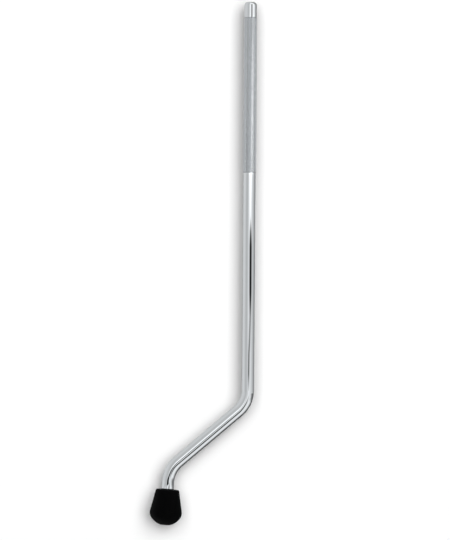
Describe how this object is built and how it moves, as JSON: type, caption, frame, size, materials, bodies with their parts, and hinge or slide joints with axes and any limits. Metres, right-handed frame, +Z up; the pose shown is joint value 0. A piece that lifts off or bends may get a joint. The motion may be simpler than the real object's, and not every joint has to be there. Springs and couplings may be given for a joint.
{
  "type": "floor tom leg",
  "caption": "Bent chrome-plated steel drum leg with a knurled upper shank for a clamp bracket, an offset lower end and a domed black rubber foot.",
  "frame": {"origin": "on the axis of the upper shank, half way along the knurled grip", "axes": "+Z up the shank towards its plain tip; the offset bends lie in the XZ plane and carry the foot towards -X; the part is symmetric about that plane"},
  "size_m": [0.1062, 0.0328, 0.5342],
  "materials": {
    "chrome_bar": "bright chrome plate, satin on the knurl",
    "black_rubber": "matt moulded rubber",
    "zinc_washer": "zinc-plated steel"
  },
  "bodies": {
    "root": {"leg_rod": "chrome_bar", "rubber_foot": "black_rubber", "foot_washer": "zinc_washer"}
  },
  "joints": []
}
